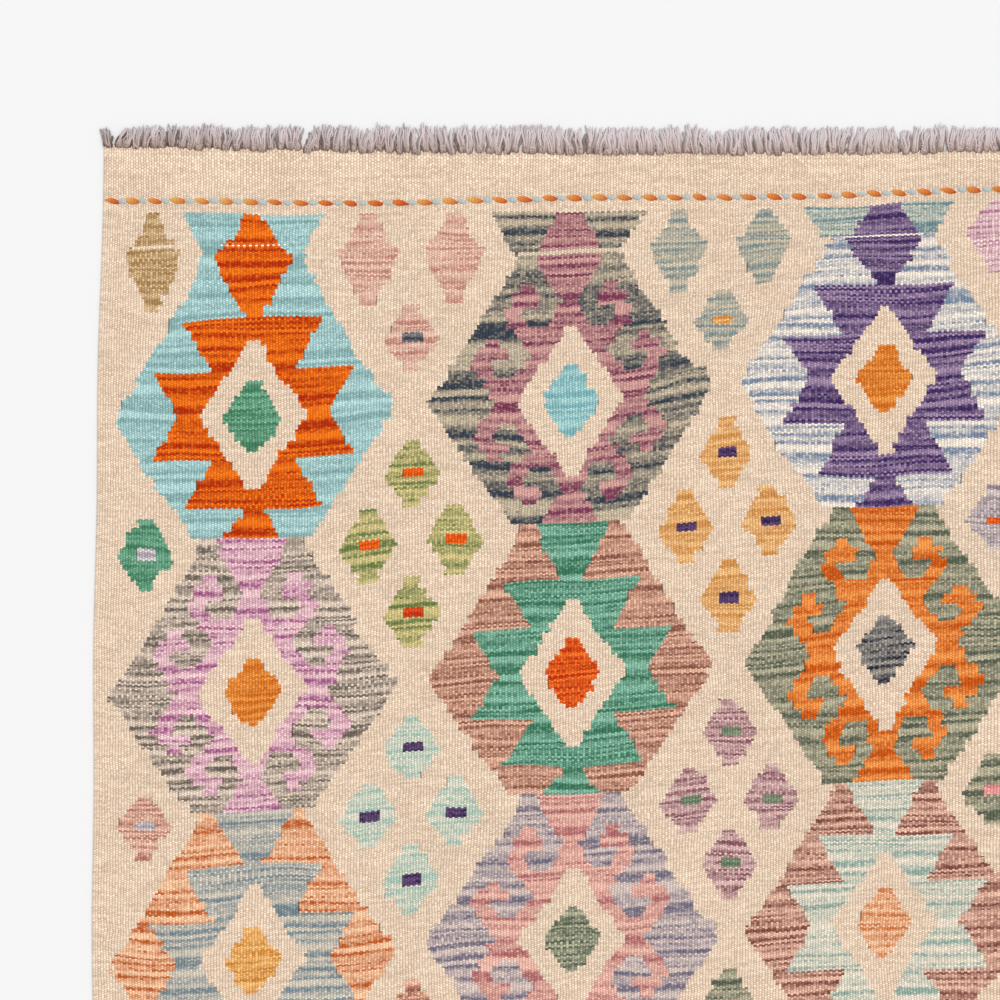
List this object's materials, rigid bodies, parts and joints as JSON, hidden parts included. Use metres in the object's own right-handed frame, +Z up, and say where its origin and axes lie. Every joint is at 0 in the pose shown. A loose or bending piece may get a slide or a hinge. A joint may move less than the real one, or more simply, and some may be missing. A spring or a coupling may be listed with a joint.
{
  "type": "kilim rug",
  "caption": "Flat-woven kilim rug with rows of stepped medallions, plain end bands, a twined line across each end and a short knotted fringe.",
  "frame": {"origin": "on the floor under the middle of the whole rug, fringes included", "axes": "+Z up out of the rug's face; +Y along the rug's length towards its head, the end that the picture shows at the top; +X across to the right"},
  "size_m": [1.046, 1.484, 0.004],
  "materials": {
    "woven_wool": "weft-faced slit tapestry in hand-dyed wool, matt, with streaks of lighter and darker yarn",
    "warp_fringe": "loose ends of grey-brown wool warp yarn, knotted at the root, matt"
  },
  "bodies": {
    "root": {"kilim_cloth": "woven_wool", "fringe_head": "warp_fringe", "fringe_foot": "warp_fringe"}
  },
  "joints": []
}
